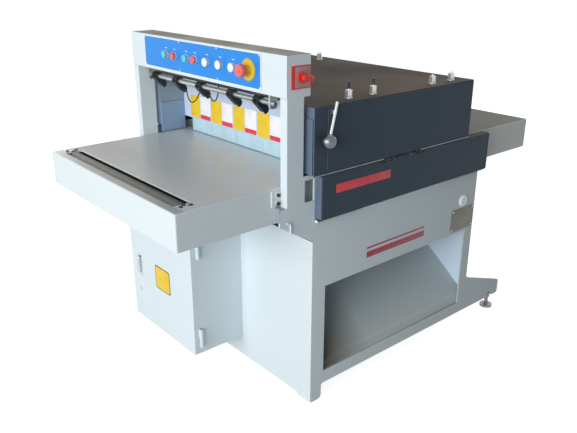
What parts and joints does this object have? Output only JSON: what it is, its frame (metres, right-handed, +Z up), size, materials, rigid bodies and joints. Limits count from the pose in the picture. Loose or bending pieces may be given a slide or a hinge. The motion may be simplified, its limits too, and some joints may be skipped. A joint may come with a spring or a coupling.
{
  "type": "multi-blade rip saw",
  "caption": "Through-feed circular saw bench: infeed table under a control gate, hooded rollers over gang blades, outfeed table, base with chip window and electrical cabinet.",
  "frame": {"origin": "centre of the bounding box on the floor", "axes": "+Y along the feed direction, +X to the machine's right with the chip window, +Z up"},
  "size_m": [1.09, 1.856, 1.256],
  "materials": {
    "paint_light": "fine-textured powder coat",
    "paint_navy": "satin enamel",
    "paint_chute": "satin enamel",
    "paint_dark": "satin enamel",
    "table_top": "plated, soft sheen",
    "ground_steel": "ground",
    "bright_steel": "polished",
    "blade_steel": "ground, brazed tips",
    "zinc": "zinc plated",
    "iron": "as cast with turned faces",
    "latch_chrome": "polished",
    "panel_blue": "smooth satin",
    "plug_white": "moulded, satin",
    "collar": "satin",
    "button_green": "smooth",
    "button_red": "smooth",
    "button_white": "smooth",
    "stop_red": "smooth",
    "yellow_plastic": "smooth",
    "switch_red": "fine grain",
    "black_paint": "satin",
    "lead_black": "smooth",
    "belt_rubber": "fabric faced"
  },
  "bodies": {
    "machine_frame": {"base_front_panel": "paint_light", "base_rear_panel": "paint_light", "base_side_right": "paint_light", "base_side_left": "paint_light", "chip_chute": "paint_chute", "motor_rails": "paint_dark", "levelling_feet": "zinc", "table_brackets": "paint_light", "infeed_table": "table_top", "gate_posts": "paint_light", "control_box": "paint_light", "control_box_cover": "paint_light", "control_panel": "panel_blue", "button_collars": "collar", "emergency_ring": "yellow_plastic", "switch_plate": "switch_red", "laser_rod": "bright_steel", "laser_brackets": "black_paint", "laser_units": "black_paint", "laser_leads": "lead_black", "bed_plate": "ground_steel", "hood": "paint_navy", "outfeed_table": "table_top", "cabinet": "paint_light", "electrical_plate": "zinc", "bearing_housings": "iron", "main_motor": "paint_dark", "belt_guard": "paint_navy", "drive_belts": "belt_rubber", "lifting_sockets": "plug_white", "cover_hinge": "zinc", "feed_gearmotor": "paint_dark"},
    "infeed_roller": {"infeed_roller": "bright_steel"},
    "cabinet_door": {"cabinet_door": "paint_light", "latch_plate": "latch_chrome"},
    "latch_handle": {"latch_handle": "latch_chrome"},
    "main_switch_knob": {"main_switch_knob": "switch_red"},
    "emergency_button": {"emergency_button": "stop_red"},
    "saw_start_button": {"saw_start_button": "button_green"},
    "saw_stop_button": {"saw_stop_button": "button_red"},
    "feed_start_button": {"feed_start_button": "button_green"},
    "feed_stop_button": {"feed_stop_button": "button_red"},
    "laser_button": {"laser_button": "button_white"},
    "lamp_button": {"lamp_button": "button_white"},
    "jog_button": {"jog_button": "button_white"},
    "release_lever": {"release_lever": "latch_chrome"},
    "side_cover": {"side_cover": "paint_navy"},
    "saw_arbor": {"saw_arbor": "ground_steel", "saw_blades": "blade_steel"},
    "motor_pulley": {"motor_pulley": "iron"},
    "lower_roller_front": {"lower_roller_front": "ground_steel"},
    "lower_roller_rear": {"lower_roller_rear": "ground_steel"},
    "pressure_yoke_1": {"pressure_yoke_1": "zinc"},
    "upper_roller_1": {"upper_roller_1": "ground_steel"},
    "pressure_yoke_2": {"pressure_yoke_2": "zinc"},
    "upper_roller_2": {"upper_roller_2": "ground_steel"},
    "pressure_yoke_3": {"pressure_yoke_3": "zinc"},
    "upper_roller_3": {"upper_roller_3": "ground_steel"},
    "pressure_yoke_4": {"pressure_yoke_4": "zinc"},
    "upper_roller_4": {"upper_roller_4": "ground_steel"}
  },
  "joints": [
    {"name": "infeed_roller_spin", "type": "hinge", "parent": "machine_frame", "child": "infeed_roller", "pos_m": [0, -0.866, 0.824], "axis": [1, 0, 0], "continuous": true},
    {"name": "cabinet_door_swing", "type": "hinge", "parent": "machine_frame", "child": "cabinet_door", "pos_m": [0.07, -0.63225, 0.4], "axis": [0, 0, 1], "range_deg": [0, 115]},
    {"name": "latch_turn", "type": "hinge", "parent": "cabinet_door", "child": "latch_handle", "pos_m": [-0.328, -0.663, 0.322], "axis": [0, 1, 0], "range_deg": [0, 90]},
    {"name": "main_switch_turn", "type": "hinge", "parent": "machine_frame", "child": "main_switch_knob", "pos_m": [0.469, -0.49, 1.1905], "axis": [1, 0, 0], "range_deg": [0, 90]},
    {"name": "emergency_press", "type": "slide", "parent": "machine_frame", "child": "emergency_button", "axis": [0, 1, 0], "range_m": [0, 0.005], "stiffness_N_per_m": 900, "springref_m": -0.002},
    {"name": "saw_start_button_press", "type": "slide", "parent": "machine_frame", "child": "saw_start_button", "axis": [0, 1, 0], "range_m": [0, 0.003], "stiffness_N_per_m": 700, "springref_m": -0.002},
    {"name": "saw_stop_button_press", "type": "slide", "parent": "machine_frame", "child": "saw_stop_button", "axis": [0, 1, 0], "range_m": [0, 0.003], "stiffness_N_per_m": 700, "springref_m": -0.002},
    {"name": "feed_start_button_press", "type": "slide", "parent": "machine_frame", "child": "feed_start_button", "axis": [0, 1, 0], "range_m": [0, 0.003], "stiffness_N_per_m": 700, "springref_m": -0.002},
    {"name": "feed_stop_button_press", "type": "slide", "parent": "machine_frame", "child": "feed_stop_button", "axis": [0, 1, 0], "range_m": [0, 0.003], "stiffness_N_per_m": 700, "springref_m": -0.002},
    {"name": "laser_button_press", "type": "slide", "parent": "machine_frame", "child": "laser_button", "axis": [0, 1, 0], "range_m": [0, 0.003], "stiffness_N_per_m": 700, "springref_m": -0.002},
    {"name": "lamp_button_press", "type": "slide", "parent": "machine_frame", "child": "lamp_button", "axis": [0, 1, 0], "range_m": [0, 0.003], "stiffness_N_per_m": 700, "springref_m": -0.002},
    {"name": "jog_button_press", "type": "slide", "parent": "machine_frame", "child": "jog_button", "axis": [0, 1, 0], "range_m": [0, 0.003], "stiffness_N_per_m": 700, "springref_m": -0.002},
    {"name": "release_lever_turn", "type": "hinge", "parent": "machine_frame", "child": "release_lever", "pos_m": [0.495, -0.388, 1.076], "axis": [1, 0, 0], "range_deg": [0, 80]},
    {"name": "side_cover_swing", "type": "hinge", "parent": "machine_frame", "child": "side_cover", "pos_m": [0.474, 0.034, 0.716], "axis": [0, 1, 0], "range_deg": [0, 100]},
    {"name": "saw_arbor_spin", "type": "hinge", "parent": "machine_frame", "child": "saw_arbor", "pos_m": [0, 0.006, 0.78], "axis": [1, 0, 0], "continuous": true},
    {"name": "motor_pulley_spin", "type": "hinge", "parent": "machine_frame", "child": "motor_pulley", "pos_m": [-0.508, 0.006, 0.33], "axis": [1, 0, 0], "continuous": true},
    {"name": "lower_roller_front_spin", "type": "hinge", "parent": "machine_frame", "child": "lower_roller_front", "pos_m": [0, -0.267, 0.824], "axis": [1, 0, 0], "continuous": true},
    {"name": "lower_roller_rear_spin", "type": "hinge", "parent": "machine_frame", "child": "lower_roller_rear", "pos_m": [0, 0.272, 0.824], "axis": [1, 0, 0], "continuous": true},
    {"name": "pressure_yoke_1_lift", "type": "slide", "parent": "machine_frame", "child": "pressure_yoke_1", "axis": [0, 0, 1], "range_m": [0, 0.035], "stiffness_N_per_m": 3000},
    {"name": "upper_roller_1_spin", "type": "hinge", "parent": "pressure_yoke_1", "child": "upper_roller_1", "pos_m": [0.08, -0.267, 0.905], "axis": [1, 0, 0], "continuous": true},
    {"name": "pressure_yoke_2_lift", "type": "slide", "parent": "machine_frame", "child": "pressure_yoke_2", "axis": [0, 0, 1], "range_m": [0, 0.035], "stiffness_N_per_m": 3000},
    {"name": "upper_roller_2_spin", "type": "hinge", "parent": "pressure_yoke_2", "child": "upper_roller_2", "pos_m": [0.08, -0.152, 0.905], "axis": [1, 0, 0], "continuous": true},
    {"name": "pressure_yoke_3_lift", "type": "slide", "parent": "machine_frame", "child": "pressure_yoke_3", "axis": [0, 0, 1], "range_m": [0, 0.035], "stiffness_N_per_m": 3000},
    {"name": "upper_roller_3_spin", "type": "hinge", "parent": "pressure_yoke_3", "child": "upper_roller_3", "pos_m": [0.08, 0.162, 0.905], "axis": [1, 0, 0], "continuous": true},
    {"name": "pressure_yoke_4_lift", "type": "slide", "parent": "machine_frame", "child": "pressure_yoke_4", "axis": [0, 0, 1], "range_m": [0, 0.035], "stiffness_N_per_m": 3000},
    {"name": "upper_roller_4_spin", "type": "hinge", "parent": "pressure_yoke_4", "child": "upper_roller_4", "pos_m": [0.08, 0.272, 0.905], "axis": [1, 0, 0], "continuous": true}
  ],
  "couplings": [
    {"joint": "motor_pulley_spin", "follows": "saw_arbor_spin", "ratio": 0.7379},
    {"joint": "lower_roller_rear_spin", "follows": "lower_roller_front_spin", "ratio": 1},
    {"joint": "upper_roller_1_spin", "follows": "lower_roller_front_spin", "ratio": -0.6},
    {"joint": "upper_roller_2_spin", "follows": "lower_roller_front_spin", "ratio": -0.6},
    {"joint": "upper_roller_3_spin", "follows": "lower_roller_front_spin", "ratio": -0.6},
    {"joint": "upper_roller_4_spin", "follows": "lower_roller_front_spin", "ratio": -0.6}
  ]
}
